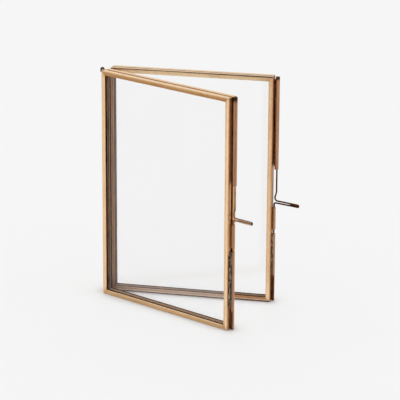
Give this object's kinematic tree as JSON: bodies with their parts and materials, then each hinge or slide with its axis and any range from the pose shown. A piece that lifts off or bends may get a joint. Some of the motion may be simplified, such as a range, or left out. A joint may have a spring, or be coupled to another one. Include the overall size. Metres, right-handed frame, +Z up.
{
  "type": "hinged double photo frame",
  "caption": "Hinged brass-and-glass photo frame that opens like a book; each leaf's glazed halves swing apart for a print and are held shut by a sliding wire bolt.",
  "frame": {"origin": "under the middle of the whole frame's box, on the surface that it stands on", "axes": "+Z up, the longest extent; +X along the far leaf from the book hinge to its free edge; +Y from the opening between the leaves to the far leaf's back"},
  "size_m": [0.1556, 0.0836, 0.1814],
  "materials": {
    "channel": "antique brass, rubbed bright on the edges, with brown patina in corners and seams",
    "tube": "duller brown antique brass tube",
    "wire": "dark olive-brown patinated brass wire",
    "glass": "clear float glass",
    "solder": "rough grey soft solder"
  },
  "bodies": {
    "far_front": {"far_front_bottom_rail": "channel", "far_front_top_rail": "channel", "far_front_spine_stile": "channel", "far_front_latch_stile": "channel", "far_front_glass": "glass", "far_lower_hinge_tube": "tube", "far_upper_hinge_tube": "tube", "far_hinge_pin": "wire", "far_keeper_tube": "tube", "far_keeper_solder": "solder", "book_middle_knuckle": "tube", "book_pin": "wire"},
    "far_back": {"far_back_bottom_rail": "channel", "far_back_top_rail": "channel", "far_back_spine_stile": "channel", "far_back_latch_stile": "channel", "far_back_glass": "glass", "far_middle_hinge_tube": "tube", "far_upper_guide_tube": "tube", "far_lower_guide_tube": "tube"},
    "far_latch": {"far_latch_wire": "wire"},
    "near_front": {"near_front_bottom_rail": "channel", "near_front_top_rail": "channel", "near_front_spine_stile": "channel", "near_front_latch_stile": "channel", "near_front_glass": "glass", "near_lower_hinge_tube": "tube", "near_upper_hinge_tube": "tube", "near_hinge_pin": "wire", "near_keeper_tube": "tube", "near_keeper_solder": "solder"},
    "near_back": {"near_back_bottom_rail": "channel", "near_back_top_rail": "channel", "near_back_spine_stile": "channel", "near_back_latch_stile": "channel", "near_back_glass": "glass", "near_middle_hinge_tube": "tube", "near_upper_guide_tube": "tube", "near_lower_guide_tube": "tube", "book_lower_knuckle": "tube", "book_upper_knuckle": "tube"},
    "near_latch": {"near_latch_wire": "wire"}
  },
  "joints": [
    {"name": "book_hinge", "type": "hinge", "parent": "far_front", "child": "near_back", "pos_m": [-0.07436, 0.03275, 0], "axis": [0, 0, -1], "range_deg": [-27.9, 152.1]},
    {"name": "far_leaf_hinge", "type": "hinge", "parent": "far_front", "child": "far_back", "pos_m": [-0.07291, 0.03745, 0], "axis": [0, 0, -1], "range_deg": [-150, 0]},
    {"name": "near_leaf_hinge", "type": "hinge", "parent": "near_back", "child": "near_front", "pos_m": [-0.07528, 0.02792, 0], "axis": [0, 0, 1], "range_deg": [-150, 0]},
    {"name": "far_latch_slide", "type": "slide", "parent": "far_back", "child": "far_latch", "axis": [0, 0, 1], "range_m": [-0.0022, 0.016]},
    {"name": "near_latch_slide", "type": "slide", "parent": "near_back", "child": "near_latch", "axis": [0, 0, 1], "range_m": [-0.0022, 0.016]}
  ]
}
